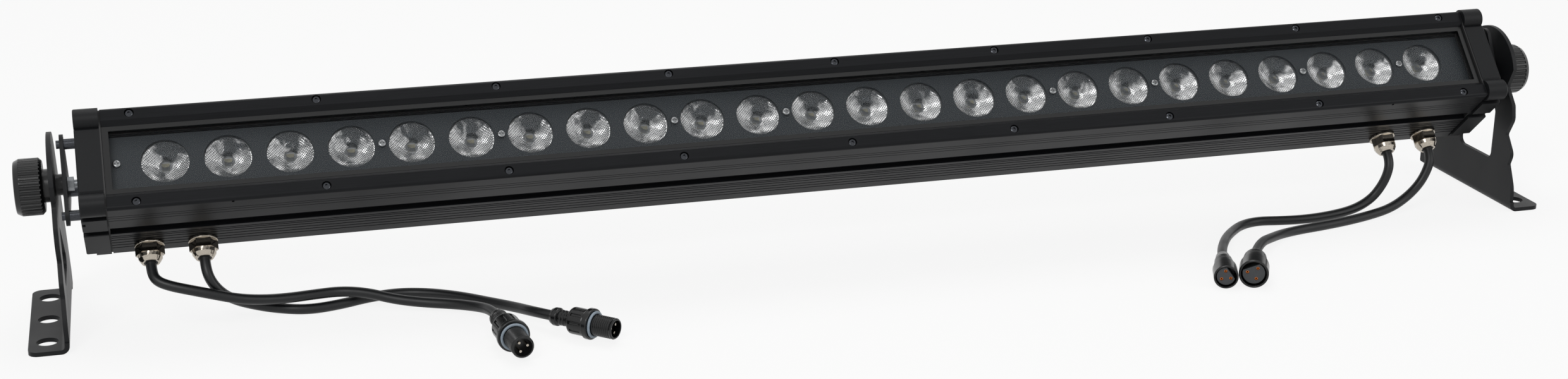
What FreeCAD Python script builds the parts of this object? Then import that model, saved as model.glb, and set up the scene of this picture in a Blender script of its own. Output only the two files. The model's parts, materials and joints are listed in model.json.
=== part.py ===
import FreeCAD, Part
import math
import operator
import os

import Sketcher

# A one metre LED wall washer. X runs along the bar, Z is up and the lamp faces -Y, tilted upwards.
# The origin is on the floor, under the middle of the lamp without its cables. Millimetres and degrees.
#
# Pieces of the bar are drawn flat, in the bar's own frame: X along it, Y the depth behind the front
# flanges, Z the height up the lamp face. The bar's placement then tilts them about the pivot.

V = FreeCAD.Vector

SHEET = [
    # bar profile
    ("bar_half_length", 499.4, "middle to the inner face of an end cap"),
    ("bar_half_height", 36.7, "half the profile across the lamp face"),
    ("bar_depth", 68.0, "front flange to back"),
    ("front_round", 2.3, "outer corner of the flange"),
    ("back_round", 1.5, "back corner"),
    ("mouth_half_height", 27.5, "half the opening between the flanges"),
    ("window_half_height", 24.5, "half the channel that holds the glass"),
    ("frame_depth", 3.0, "front of the window frame"),
    ("ledge_depth", 8.5, "ledge that carries the glass"),
    ("ledge_half_height", 19.8, "half the opening behind the ledge"),
    ("shelf_depth", 12.0, "shelf that carries the lens plate"),
    ("shelf_half_height", 17.5, "half the lens chamber"),
    ("web_depth", 22.0, "front of the web that cools the boards"),
    ("web_thickness", 3.0, "web between lenses and driver"),
    ("wall", 2.5, "least wall of the rear chamber"),
    ("slot_depth", 28.3, "front edge of the mounting slot in the side"),
    ("slot_width", 8.9, "mounting slot"),
    ("slot_cut", 3.5, "how deep the mounting slot is"),
    ("line_cut", 0.5, "fine lines in the side"),
    ("fin_cut", 1.0, "cooling lines in side and back"),
    ("fin_gap", 0.9, "width of a cooling line"),
    # place and tilt of the bar
    ("tilt", 43.75, "the lamp face leans back by this"),
    ("pivot_height", 99.6, "pivot above the floor"),
    ("pivot_y", -15.2, "pivot in the row frame"),
    ("pivot_depth", 34.5, "pivot in the bar frame"),
    ("pivot_rise", 1.0, "pivot above the bar's middle"),
    # lenses and boards
    ("lens_pitch", 40.0, "one lens to the next"),
    ("lens_end", 15.0, "least bar beyond the last lens's share of the row"),
    ("lens_radius", 15.0, "clear face of a lens"),
    ("lens_hole_radius", 15.5, "hole in the lens plate"),
    ("lens_rim", 1.5, "flange of a lens beyond its face"),
    ("plate_thickness", 2.0, "lens plate"),
    ("board_thickness", 1.6, "circuit board"),
    ("led_width", 5.0, "LED package"),
    ("glass_thickness", 3.0, "front glass"),
    ("frame_thickness", 2.0, "window frame"),
    ("frame_inner_half", 21.0, "half the clear window"),
    ("frame_end", 5.4, "bar of the frame at each end"),
    ("fit", 0.1, "radial clearance of shafts and screws"),
    ("gap", 0.3, "clearance between seated pieces"),
    # ends
    ("gasket", 1.0, "gasket under an end cap"),
    ("cap_thickness", 15.8, "end cap"),
    ("cap_half_height", 38.4, "half the end cap"),
    ("boss_radius", 7.6, "round corner of an end cap"),
    ("boss_depth", 4.0, "its centre"),
    ("boss_rise", 30.8, "its centre"),
    ("cap_screw_radius", 2.0, "end cap screw"),
    ("rear_screw_depth", 62.0, "end cap screws near the back"),
    ("rear_screw_rise", 18.0, "the same"),
    ("post_radius", 3.5, "standoff post"),
    ("post_length", 7.3, "end cap to pivot plate"),
    ("pivot_plate", 2.5, "pivot plate"),
    ("pivot_plate_rim", 6.5, "pivot plate round a post"),
    ("screw_radius", 1.5, "small screws"),
    ("flange_screw_rise", 32.0, "row of screws in a flange"),
    ("flange_screw_end", 19.4, "end of the bar to the first flange screw"),
    ("flange_screw_count", 9, "screws in one flange"),
    # brackets and knobs
    ("stud_radius", 2.5, "pivot stud"),
    ("spacer", 5.0, "pivot plate to bracket"),
    ("spacer_radius", 7.0, "spacer on the pivot"),
    ("sheet", 3.0, "bracket sheet"),
    ("head_radius", 35.0, "round head of a bracket"),
    ("foot_width", 26.3, "inner face of the bracket to the foot's edge"),
    ("foot_front", -64.5, "front end of the foot"),
    ("foot_back", 53.0, "back end of the foot"),
    ("bend_radius", 5.5, "outside of the bend"),
    ("back_lean", 25.83, "the bracket's back edge leans by this"),
    ("toe", 66.8, "back toe of the bracket"),
    ("foot_hole_radius", 7.0, "foot hole"),
    ("foot_hole_pitch", 41.4, "one foot hole to the next"),
    ("foot_hole_offset", 14.4, "row of holes from the inner face"),
    ("foot_hole_y", -5.1, "middle hole"),
    ("knob_radius", 18.8, "hand knob"),
    ("knob_length", 18.0, "its ribbed part"),
    ("knob_hub_radius", 11.0, "its hub"),
    ("knob_hub", 3.5, "length of the hub"),
    ("knob_washer", 1.0, "washer under the knob"),
    ("knob_ribs", 36, "grooves round the knob"),
    # cables, glands and connectors
    ("cable_radius", 3.5, "cable"),
    ("gland_depth", 57.5, "gland in the bar frame"),
    ("gland_flange_radius", 9.65, "gland flange"),
    ("gland_stem_radius", 6.0, "gland thread"),
    ("gland_neck_radius", 6.8, "under the dome nut"),
    ("gland_across", 16.4, "dome nut across flats"),
    ("gland_length", 13.8, "wall of the bar to the end of the dome nut"),
    ("plug_large_radius", 11.0, "flange of the large plug"),
    ("plug_large_length", 58.5, "the large plug"),
    ("plug_small_radius", 10.5, "flange of the small plug"),
    ("plug_small_length", 49.5, "the small plug"),
    ("socket_large_radius", 10.4, "ring of the large socket"),
    ("socket_large_length", 40.1, "the large socket"),
    ("socket_small_radius", 8.6, "ring of the small socket"),
    ("socket_small_length", 40.4, "the small socket"),
]

FINE_LINES = (11.1, 13.8, 17.2)
FINS = (41.0, 43.3, 46.5, 50.5, 54.4, 58.3)
BACK_FINS = (28.0, 21.0, 14.0, 7.0)
# each gland's distance from the end of the bar on its side: plugs on the left, sockets on the right
GLAND_FROM_END = {"plug_large": -24.4, "plug_small": -58.9, "socket_small": 62.4, "socket_large": 27.4}
PLATE_SCREW_GAPS = (-8, -6, -3, -1, 4, 6, 9, 11)
END_SCREW_BEYOND = 10.5
DRAIN_FROM_END = 79.4
DRIVER_LENGTH = 310.0
CONTROL_LENGTH = 140.0
CONTROL_FROM_END = 169.4
CONTROL_GAP = 40.0
# the three posts round the pivot, as depth and rise from it, counter-clockwise
POSTS = ((-19.5, 19.3), (-7.0, -26.5), (26.4, 7.2))
# the bracket's wavy front edge: Y from the pivot, and the height as a share of the pivot's
BRACKET_FRONT = (
    (-47.6, 0.18, 25), (-39.3, 0.355, 2.5), (-42.6, 0.44, 7), (-32.6, 0.575, 2.5),
    (-39.4, 0.71, 9), (-37.2, 0.825, 9), (-26.0, 0.965, 0),
)
BRACKET_NOTCH = ((-27.2, 0.943, 3.0), (-52.0, 0.64, 0), (-52.0, 1.5, 0))
BRACKET_WINDOW = ((-16.1, 0.335, 5.0), (38.2, 0.335, 5.5), (-16.1, 0.79, 4.0))

doc = FreeCAD.newDocument("wall_washer")
sheet = doc.addObject("Spreadsheet::Sheet", "Sizes")
nodes = []


class Size:
    """A number, kept with the expression on the sheet that gives it."""

    def __init__(self, value, text):
        self.value = value
        self.text = text

    def worked(self, sign, other, work, swapped=False):
        first, second = (as_size(other), self) if swapped else (self, as_size(other))
        return Size(work(first.value, second.value), f"({first.text} {sign} {second.text})")

    def __add__(self, other):
        return self.worked("+", other, operator.add)

    def __radd__(self, other):
        return self.worked("+", other, operator.add, swapped=True)

    def __sub__(self, other):
        return self.worked("-", other, operator.sub)

    def __rsub__(self, other):
        return self.worked("-", other, operator.sub, swapped=True)

    def __mul__(self, other):
        return self.worked("*", other, operator.mul)

    def __rmul__(self, other):
        return self.worked("*", other, operator.mul, swapped=True)

    def __truediv__(self, other):
        return self.worked("/", other, operator.truediv)

    def __neg__(self):
        return Size(-self.value, f"(-1 * {self.text})")


def as_size(number):
    return number if isinstance(number, Size) else Size(number, repr(float(number)))


def cosine(angle):
    return Size(math.cos(math.radians(angle.value)), f"cos({angle.text})")


def sine(angle):
    return Size(math.sin(math.radians(angle.value)), f"sin({angle.text})")


def whole(number):
    return Size(math.floor(number.value), f"floor({number.text})")


class Sizes:
    """The sheet's aliases as Size objects."""


S = Sizes()
for row, (alias, number, meaning) in enumerate(SHEET, start=1):
    sheet.set(f"A{row}", alias)
    sheet.set(f"B{row}", str(number))
    sheet.set(f"C{row}", meaning)
    sheet.setAlias(f"B{row}", alias)
    setattr(S, alias, Size(number, f"Sizes.{alias}"))
doc.recompute()


# ---------------------------------------------------------------- building helpers


def bind(thing, name, size):
    thing.setExpression(name, as_size(size).text)


def place(thing, at, turn):
    """Puts a piece at a point, turned about X by an angle."""
    x, y, z = (as_size(c).text for c in at)
    spot = f"placement(vector({x}; {y}; {z}); rotation(vector(1; 0; 0); {as_size(turn).text}))"
    thing.setExpression("Placement", spot)


def on_bar(depth, rise):
    """Y and Z in the row frame of a point of the bar's own frame."""
    back = depth - S.pivot_depth
    up = rise - S.pivot_rise
    y = S.pivot_y + back * cosine(S.tilt) + up * sine(S.tilt)
    z = S.pivot_height - back * sine(S.tilt) + up * cosine(S.tilt)
    return y, z


def mount_on_bar(thing, x=0, depth=0, rise=0, turn=0):
    place(thing, (x, *on_bar(as_size(depth), as_size(rise))), turn - S.tilt)


def keep(thing, label):
    """Marks a finished piece, whose label names its file."""
    thing.Label = label
    nodes.append(thing)
    return thing


def new_body(name):
    body = doc.addObject("PartDesign::Body", name)
    body.AllowCompound = True
    return body


def origin(body, role):
    return next(f for f in body.Origin.OriginFeatures if f.Role == role)


def arc_between(start, end, centre, left):
    """An arc, and which of its two ends is the start and the end of the path."""
    first, last = (start, end) if left else (end, start)
    angles = [math.atan2(p.y - centre.y, p.x - centre.x) for p in (first, last)]
    circle = Part.Circle(centre, V(0, 0, 1), (start - centre).Length)
    return Part.ArcOfCircle(circle, *angles), (1, 2) if left else (2, 1)


def spot(x, y):
    return V(as_size(x).value, as_size(y).value, 0)


class Drawing:
    """A sketch on a plane of a body, moved along the plane's axis to start."""

    def __init__(self, body, plane, start=0):
        self.sketch = body.newObject("Sketcher::SketchObject", "Sketch")
        self.sketch.AttachmentSupport = [(origin(body, plane), "")]
        self.sketch.MapMode = "FlatFace"
        lift = -as_size(start) if plane == "XZ_Plane" else as_size(start)
        bind(self.sketch, "AttachmentOffset.Base.z", lift)
        self.rules = []

    def add(self, shape, construction=False):
        return self.sketch.addGeometry(shape, construction)

    def rule(self, *parts):
        self.rules.append((Sketcher.Constraint(*parts), None))

    def hold(self, element, position, x, y):
        """Dimensions a point of the sketch from the origin, both ways."""
        for kind, size in (("DistanceX", as_size(x)), ("DistanceY", as_size(y))):
            held = Sketcher.Constraint(kind, -1, 1, element, position, size.value)
            self.rules.append((held, size.text))

    def hold_radius(self, element, radius):
        size = as_size(radius)
        self.rules.append((Sketcher.Constraint("Radius", element, size.value), size.text))

    def outline(self, corners):
        """A closed outline through corners (x, y) or (x, y, radius that rounds the corner)."""
        corners = [(c[0], c[1], c[2] if len(c) > 2 else 0) for c in corners]
        points = [spot(x, y) for x, y, _ in corners]
        ends = []
        for i, (_, _, radius) in enumerate(corners):
            here, r = points[i], as_size(radius).value
            back = (points[i - 1] - here).normalize()
            on = (points[(i + 1) % len(points)] - here).normalize()
            if not r:
                ends.append((here, here, None, None))
                continue
            half = back.getAngle(on) / 2
            centre = here + (back + on).normalize() * (r / math.sin(half))
            cut = r / math.tan(half)
            left = (-back).cross(on).z > 0
            ends.append((here + back * cut, here + on * cut, centre, left))
        lines = []
        for i in range(len(corners)):
            start, end = ends[i][1], ends[(i + 1) % len(corners)][0]
            lines.append(self.add(Part.LineSegment(start, end)))
        for i, (x, y, radius) in enumerate(corners):
            before, after = lines[i - 1], lines[i]
            if ends[i][2] is None:
                self.rule("Coincident", before, 2, after, 1)
                self.hold(after, 1, x, y)
                continue
            shape, (first, last) = arc_between(*ends[i])
            arc = self.add(shape)
            self.rule("Tangent", before, 2, arc, first)
            self.rule("Tangent", arc, last, after, 1)
            self.hold_radius(arc, radius)
            corner = self.add(Part.Point(points[i]), construction=True)
            self.rule("PointOnObject", corner, 1, before)
            self.rule("PointOnObject", corner, 1, after)
            self.hold(corner, 1, x, y)

    def circles(self, rounds):
        for x, y, radius in rounds:
            circle = self.add(Part.Circle(spot(x, y), V(0, 0, 1), as_size(radius).value))
            self.hold(circle, 3, x, y)
            self.hold_radius(circle, radius)

    def belt(self, rounds):
        """An outline drawn tight round equal discs, taken counter-clockwise."""
        centres = [spot(x, y) for x, y, _ in rounds]
        sides = []
        for i, centre in enumerate(centres):
            after = centres[(i + 1) % len(centres)]
            along = (after - centre).normalize()
            out = V(along.y, -along.x, 0) * as_size(rounds[i][2]).value
            line = self.add(Part.LineSegment(centre + out, after + out))
            sides.append((line, centre + out, after + out))
        for i, (x, y, radius) in enumerate(rounds):
            before, after = sides[i - 1], sides[i]
            shape, (first, last) = arc_between(before[2], after[1], centres[i], True)
            arc = self.add(shape)
            self.rule("Tangent", before[0], 2, arc, first)
            self.rule("Tangent", arc, last, after[0], 1)
            self.hold(arc, 3, x, y)
            self.hold_radius(arc, radius)

    def settle(self):
        """Adds all the constraints at once, then ties their sizes to the sheet."""
        self.sketch.addConstraint([held for held, _ in self.rules])
        for number, (_, text) in enumerate(self.rules):
            if text is not None:
                self.sketch.setExpression(f"Constraints[{number}]", text)
        return self.sketch


def drawn(body, plane, start, outlines, rounds=()):
    drawing = Drawing(body, plane, start)
    for corners in outlines:
        drawing.outline(corners)
    drawing.circles(rounds)
    return drawing.settle()


def box_corners(x0, x1, y0, y1, radius=0):
    return [(x0, y0, radius), (x1, y0, radius), (x1, y1, radius), (x0, y1, radius)]


def pad(body, plane, start, length, *outlines, rounds=()):
    """Adds material from start along the plane's axis, over outlines and circles."""
    drawing = drawn(body, plane, start, outlines, rounds)
    feature = body.newObject("PartDesign::Pad", "Pad")
    feature.Profile = drawing
    feature.Reversed = plane == "XZ_Plane"
    feature.Refine = False
    bind(feature, "Length", length)
    return feature


def pocket(body, plane, start, length, *outlines, rounds=()):
    """Cuts from start along the plane's axis, and makes sure that something was cut."""
    doc.recompute()
    before = body.Shape.Volume
    drawing = drawn(body, plane, start, outlines, rounds)
    feature = body.newObject("PartDesign::Pocket", "Pocket")
    feature.Profile = drawing
    feature.Reversed = plane != "XZ_Plane"
    feature.Refine = False
    bind(feature, "Length", length)
    doc.recompute()
    if body.Shape.Volume >= before:
        raise ValueError(f"a pocket of {body.Name} cuts nothing")
    return feature


def row_of(body, feature, pitch, count):
    """Repeats a feature along X."""
    pattern = body.newObject("PartDesign::LinearPattern", "Row")
    pattern.Originals = [feature]
    pattern.Refine = False
    pattern.Direction = (origin(body, "X_Axis"), [""])
    bind(pattern, "Length", pitch * (count - 1))
    bind(pattern, "Occurrences", count)
    body.Tip = pattern
    return pattern


def ring_of(body, feature, count):
    """Repeats a feature round the body's Z axis."""
    pattern = body.newObject("PartDesign::PolarPattern", "Ring")
    pattern.Originals = [feature]
    pattern.Refine = False
    pattern.Axis = (origin(body, "Z_Axis"), [""])
    pattern.Angle = 360
    bind(pattern, "Occurrences", count)
    body.Tip = pattern
    return pattern


def turned(body, corners):
    """A turned piece about the body's Z axis; corners are (radius, height)."""
    drawing = drawn(body, "XZ_Plane", 0, [corners])
    feature = body.newObject("PartDesign::Revolution", "Revolution")
    feature.Profile = drawing
    feature.Refine = False
    feature.ReferenceAxis = (drawing, ["V_Axis"])
    feature.Angle = 360
    return feature


def mirrored(source, label):
    """The same piece at the other end of the lamp."""
    mirror = doc.addObject("Part::Mirroring", label)
    mirror.Source = source
    mirror.Normal = V(1, 0, 0)
    return keep(mirror, label)


def group(label, bodies):
    """Identical pieces that share one file."""
    compound = doc.addObject("Part::Compound", label)
    compound.Links = bodies
    return keep(compound, label)


def hexagon(across, offset=0):
    """Corners of a hexagon of that size across its flats."""
    reach = across / math.sqrt(3)
    angles = [math.radians(60 * k + offset) for k in range(6)]
    return [(reach * math.cos(a), reach * math.sin(a)) for a in angles]


# ---------------------------------------------------------------- bar


def mirror_up(half):
    """The outline whose upper half is given, from front to back, and its mirror image below."""
    lower = [(y, -as_size(z), *rest) for y, z, *rest in reversed(half)]
    return list(half) + lower


def housing_section():
    half = [
        (S.web_depth, S.shelf_half_height),
        (S.shelf_depth, S.shelf_half_height),
        (S.shelf_depth, S.ledge_half_height),
        (S.ledge_depth, S.ledge_half_height),
        (S.ledge_depth, S.window_half_height),
        (S.frame_depth, S.window_half_height),
        (0, S.mouth_half_height),
        (0, S.bar_half_height, S.front_round),
    ]
    slot_back = S.slot_depth + S.slot_width
    half.append((S.slot_depth, S.bar_half_height))
    half.append((S.slot_depth, S.bar_half_height - S.slot_cut))
    half.append((slot_back, S.bar_half_height - S.slot_cut))
    half.append((slot_back, S.bar_half_height))
    half.append((S.bar_depth, S.bar_half_height, S.back_round))
    return mirror_up(half)


def side_lines(way):
    """Fine lines and cooling lines in the upper or the lower side."""
    face = S.bar_half_height * way
    over = face + way
    grooves = []
    for depth in FINE_LINES:
        floor = face - S.line_cut * way
        grooves.append([(depth - S.line_cut * 2, over), (depth, floor), (depth + S.line_cut * 2, over)])
    for depth in FINS:
        edges = (depth - S.fin_gap / 2, depth + S.fin_gap / 2)
        grooves.append(box_corners(*edges, face - S.fin_cut * way, over))
    return grooves


def back_lines():
    """Cooling lines in the back."""
    floor = S.bar_depth - S.fin_cut
    rises = BACK_FINS + tuple(-rise for rise in BACK_FINS)
    return [
        box_corners(floor, S.bar_depth + 1, rise - S.fin_gap / 2, rise + S.fin_gap / 2)
        for rise in rises
    ]


web_back = S.web_depth + S.web_thickness
chamber_half = S.bar_half_height - S.fin_cut - S.wall
bar_end = S.bar_half_length - S.gasket
half_count = whole((S.bar_half_length - S.lens_end) / S.lens_pitch)
lens_count = 2 * half_count
lens_first = -S.lens_pitch * (lens_count - 1) / 2
plate_screws = [S.lens_pitch * gap for gap in PLATE_SCREW_GAPS if abs(gap) < half_count.value]
plate_screws.append(-S.lens_pitch * half_count - END_SCREW_BEYOND)
flange_screw_first = S.flange_screw_end - S.bar_half_length
flange_screw_pitch = -flange_screw_first * 2 / (S.flange_screw_count - 1)
gland_x = {
    name: (S.bar_half_length - abs(inset)) * (1 if inset > 0 else -1)
    for name, inset in GLAND_FROM_END.items()
}
cap_screws = [
    (depth, rise * way)
    for depth, rise in ((S.boss_depth, S.boss_rise), (S.rear_screw_depth, S.rear_screw_rise))
    for way in (1, -1)
]


def housing_chambers():
    """The closed rear chamber, with a block for each rear cap screw, and two side chambers."""
    neck_half = S.bar_half_height - S.slot_cut - S.wall
    step = S.slot_depth + S.slot_width + S.wall
    back = S.bar_depth - S.wall
    block = S.wall + S.cap_screw_radius
    rear = mirror_up([
        (web_back, neck_half),
        (step, neck_half),
        (step, chamber_half),
        (back, chamber_half),
        (back, S.rear_screw_rise + block),
        (S.rear_screw_depth - block, S.rear_screw_rise + block),
        (S.rear_screw_depth - block, S.rear_screw_rise - block),
        (back, S.rear_screw_rise - block),
    ])
    inner = S.window_half_height
    outer = S.bar_half_height - S.line_cut - S.wall
    sides = [
        box_corners(S.shelf_depth + S.wall, S.web_depth - 1, low, high)
        for low, high in ((inner, outer), (-outer, -inner))
    ]
    return [rear, *sides]


def flange_rounds(radius):
    """Both rows of screws in the front flanges."""
    return [
        (flange_screw_first + flange_screw_pitch * k, S.flange_screw_rise * way, radius)
        for k in range(S.flange_screw_count.value)
        for way in (1, -1)
    ]


def make_housing():
    body = new_body("housing")
    pad(body, "YZ_Plane", -bar_end, bar_end * 2, housing_section())
    for shapes in (housing_chambers(), side_lines(1), side_lines(-1), back_lines()):
        pocket(body, "YZ_Plane", -bar_end - 1, bar_end * 2 + 2, *shapes)
    pocket(body, "XZ_Plane", 0, 10.6, rounds=flange_rounds(S.screw_radius + S.fit))
    pocket(body, "XZ_Plane", 0, 1.6, rounds=flange_rounds(S.screw_radius * 2 + S.fit))
    screws = [(x, 0, S.screw_radius + S.fit) for x in plate_screws]
    pocket(body, "XZ_Plane", S.web_depth - 1, S.web_thickness + 2, rounds=screws)
    stems = [(x, S.gland_depth, S.gland_stem_radius + S.fit) for x in gland_x.values()]
    pocket(body, "XY_Plane", -S.bar_half_height - 1, S.wall + S.fin_cut + 2, rounds=stems)
    drains = [((S.bar_half_length - DRAIN_FROM_END) * way, 2.6, 1.0) for way in (-1, 1)]
    pocket(body, "XY_Plane", -S.bar_half_height - 1, 3, rounds=drains)
    ends = [(depth, rise, S.cap_screw_radius + S.fit) for depth, rise in cap_screws]
    pocket(body, "YZ_Plane", bar_end - 12, 13, rounds=ends)
    pocket(body, "YZ_Plane", -bar_end - 1, 13, rounds=ends)
    mount_on_bar(body)
    keep(body, "housing_profile")


def make_window():
    """Frame, glass and its seal, from the front to the ledge."""
    half_length = bar_end - S.gap / 2
    half_height = S.window_half_height - S.gap / 2
    outer = box_corners(-half_length, half_length, -half_height, half_height)
    clear_length = S.bar_half_length - S.frame_end
    clear = box_corners(-clear_length, clear_length, -S.frame_inner_half, S.frame_inner_half)
    glass_depth = S.frame_depth + S.frame_thickness
    seal_depth = glass_depth + S.glass_thickness
    frame = new_body("frame")
    pad(frame, "XZ_Plane", S.frame_depth, S.frame_thickness, outer, clear)
    glass = new_body("glass")
    pad(glass, "XZ_Plane", glass_depth, S.glass_thickness, outer)
    seal = new_body("seal")
    pad(seal, "XZ_Plane", seal_depth, S.ledge_depth - seal_depth, outer, clear)
    for body, label in ((frame, "window_frame"), (glass, "front_glass"), (seal, "glass_seal")):
        mount_on_bar(body)
        keep(body, label)


def make_lens_plate():
    body = new_body("plate")
    half_length = bar_end - S.gap
    half_height = S.ledge_half_height - S.gap / 2
    front = S.shelf_depth - S.plate_thickness
    corners = box_corners(-half_length, half_length, -half_height, half_height)
    pad(body, "XZ_Plane", front, S.plate_thickness, corners)
    deep = S.plate_thickness + 2
    hole = pocket(body, "XZ_Plane", front - 1, deep, rounds=[(lens_first, 0, S.lens_hole_radius)])
    row_of(body, hole, S.lens_pitch, lens_count)
    screws = [(x, 0, S.screw_radius + S.fit) for x in plate_screws]
    pocket(body, "XZ_Plane", front - 1, deep, rounds=screws)
    mount_on_bar(body)
    keep(body, "lens_plate")


def make_lenses():
    """Total reflection lenses, each with a well at its back for the LED."""
    body = new_body("lenses")
    one = turned(body, [
        (0, 0),
        (S.lens_radius + S.lens_rim, 0),
        (S.lens_radius + S.lens_rim, -1.2),
        (S.lens_radius - 0.6, -1.2),
        (6.6, -7.6),
        (4.0, -7.6),
        (4.0, -4.5),
        (0, -3.4),
    ])
    row_of(body, one, S.lens_pitch, lens_count)
    mount_on_bar(body, lens_first, S.shelf_depth, 0, 90)
    keep(body, "lenses")


def make_boards():
    half_height = S.shelf_half_height - S.gap
    front = S.web_depth - S.board_thickness
    board = new_body("board")
    pad(board, "XZ_Plane", front, S.board_thickness,
        box_corners(S.gap / 2, bar_end - 4, -half_height, half_height))
    screws = [(x * way, 0, S.screw_radius + S.fit) for x in plate_screws for way in (1, -1)]
    screws = [s for s in screws if s[0].value > 0]
    pocket(board, "XZ_Plane", front - 1, S.board_thickness + 2, rounds=screws)
    mount_on_bar(board)
    keep(board, "led_board_right")
    mirrored(board, "led_board_left")
    leds = new_body("leds")
    half = S.led_width / 2
    one = pad(leds, "XZ_Plane", front - 1.2, 1.2,
              box_corners(lens_first - half, lens_first + half, -half, half))
    row_of(leds, one, S.lens_pitch, lens_count)
    mount_on_bar(leds)
    keep(leds, "led_packages")


def cross_slot(body, top, reach):
    """A cross recess in a screw head whose top is at that height."""
    narrow = 0.35
    pocket(body, "XY_Plane", top - 0.9, 2, [
        (reach, -narrow), (reach, narrow), (narrow, narrow), (narrow, reach),
        (-narrow, reach), (-narrow, narrow), (-reach, narrow), (-reach, -narrow),
        (-narrow, -narrow), (-narrow, -reach), (narrow, -reach), (narrow, -narrow),
    ])


def pan_screw(length, head_height, slot=0):
    """A screw along Z with its head's seat at the origin."""
    body = new_body("screw")
    head = S.screw_radius * 1.85
    turned(body, [
        (0, -length), (S.screw_radius, -length), (S.screw_radius, 0),
        (head, 0), (head, head_height, head_height * 0.6), (0, head_height),
    ])
    if slot:
        cross_slot(body, head_height, slot)
    return body


def make_screws():
    plate_front = S.shelf_depth - S.plate_thickness
    shank = web_back - plate_front - 0.2
    silver = [pan_screw(shank, 2.0, 1.6) for _ in plate_screws]
    for body, x in zip(silver, plate_screws):
        mount_on_bar(body, x, plate_front, 0, 90)
    group("lens_plate_screws", silver)
    for label, way in (("flange_screws_upper", 1), ("flange_screws_lower", -1)):
        body = new_body("flange_screws")
        head = S.screw_radius * 1.85
        turn = turned(body, [
            (0, -8), (S.screw_radius, -8), (S.screw_radius, 0), (head, 0),
            (head, 0.9), (head * 0.72, 1.4), (1.1, 1.4), (1.1, 0.5), (0, 0.5),
        ])
        row_of(body, turn, flange_screw_pitch, S.flange_screw_count)
        mount_on_bar(body, flange_screw_first, 1.6, S.flange_screw_rise * way, 90)
        keep(body, label)


# ---------------------------------------------------------------- ends of the bar

cap_face = S.bar_half_length + S.cap_thickness
plate_inner = cap_face + S.post_length
plate_outer = plate_inner + S.pivot_plate
bracket_inner = plate_outer + S.spacer
bracket_outer = bracket_inner + S.sheet
posts = [(S.pivot_depth + back, S.pivot_rise + up) for back, up in POSTS]


def cap_outline():
    side = S.cap_half_height
    back = S.bar_depth
    return mirror_up([
        (0.6, 22.0),
        (S.boss_depth, S.boss_rise - 3),
        (S.boss_depth + S.boss_radius, S.boss_rise + 3),
        (S.boss_depth + S.boss_radius, side),
        (S.slot_depth, side, 0.6),
        (S.slot_depth, side - 2.8),
        (S.slot_depth + 6.1, side - 2.8),
        (S.slot_depth + 6.1, side, 0.6),
        (back - 5.9, side, 0.8),
        (back - 5.9, side - 1.4),
        (back, side - 1.4, 1.2),
    ])


def outer_edges(feature, x):
    """Names of the edges that lie in the plane at that X."""
    names = []
    for number, edge in enumerate(feature.Shape.Edges, start=1):
        box = edge.BoundBox
        if abs(box.XMin - x) < 1e-6 and abs(box.XMax - x) < 1e-6:
            names.append(f"Edge{number}")
    return names


def make_end_cap():
    body = new_body("end_cap")
    pad(body, "YZ_Plane", S.bar_half_length, S.cap_thickness, cap_outline())
    bosses = [(S.boss_depth, S.boss_rise * way, S.boss_radius) for way in (1, -1)]
    last = pad(body, "YZ_Plane", S.bar_half_length, S.cap_thickness, rounds=bosses)
    doc.recompute()
    last.Refine = True
    doc.recompute()
    edge_break = body.newObject("PartDesign::Chamfer", "Chamfer")
    edge_break.Base = (last, outer_edges(last, cap_face.value))
    edge_break.Size = 0.6
    body.Tip = edge_break
    side = S.cap_half_height + 1
    step = S.bar_half_length + 9.6
    lip = box_corners(S.bar_depth - 5.9, S.bar_depth + 1, -side, side)
    pocket(body, "YZ_Plane", step, S.cap_thickness, lip)
    heads = [(depth, rise, S.cap_screw_radius * 2) for depth, rise in cap_screws]
    pocket(body, "YZ_Plane", cap_face - 3.4, 4.4, rounds=heads[:2])
    pocket(body, "YZ_Plane", step - 3.4, 10, rounds=heads[2:])
    shanks = [(depth, rise, S.cap_screw_radius + S.fit) for depth, rise in cap_screws]
    pocket(body, "YZ_Plane", S.bar_half_length - 1, S.cap_thickness, rounds=shanks)
    stubs = [(depth, rise, S.screw_radius + S.fit) for depth, rise in posts]
    pocket(body, "YZ_Plane", cap_face - 6.6, 8, rounds=stubs)
    notch = box_corners(S.slot_depth - 12.8, S.slot_depth - 9.4, -side, -side + 2)
    pocket(body, "YZ_Plane", cap_face - 2.4, 3, notch)
    mount_on_bar(body)
    keep(body, "end_cap_right")
    mirrored(body, "end_cap_left")


def make_gasket():
    body = new_body("end_gasket")
    edge = S.bar_half_height - 1
    inner = S.bar_half_height - 8.7
    pad(body, "YZ_Plane", bar_end, S.gasket,
        box_corners(1, S.bar_depth - 1, -edge, edge),
        box_corners(web_back + 2, S.rear_screw_depth - 5, -inner, inner))
    holes = [(depth, rise, S.cap_screw_radius + S.fit) for depth, rise in cap_screws]
    pocket(body, "YZ_Plane", bar_end - 1, S.gasket + 2, rounds=holes)
    mount_on_bar(body)
    keep(body, "end_gasket_right")
    mirrored(body, "end_gasket_left")


def make_cap_screws():
    """Cap screws along X; the rear ones sit deeper, behind the step of the cap."""
    body = new_body("cap_screws")
    radius = S.cap_screw_radius
    seats = (cap_face - 3.4, S.bar_half_length + 6.2)
    inner = bar_end - 11
    for seat, spots in zip(seats, (cap_screws[:2], cap_screws[2:])):
        shanks = [(depth, rise, radius) for depth, rise in spots]
        heads = [(depth, rise, radius * 2 - S.fit) for depth, rise in spots]
        pad(body, "YZ_Plane", inner, seat - inner, rounds=shanks)
        pad(body, "YZ_Plane", seat, 2.8, rounds=heads)
        sockets = [(depth, rise, radius * 0.8) for depth, rise in spots]
        pocket(body, "YZ_Plane", seat + 1, 3, rounds=sockets)
    mount_on_bar(body)
    keep(body, "end_cap_screws_right")
    mirrored(body, "end_cap_screws_left")


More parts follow.
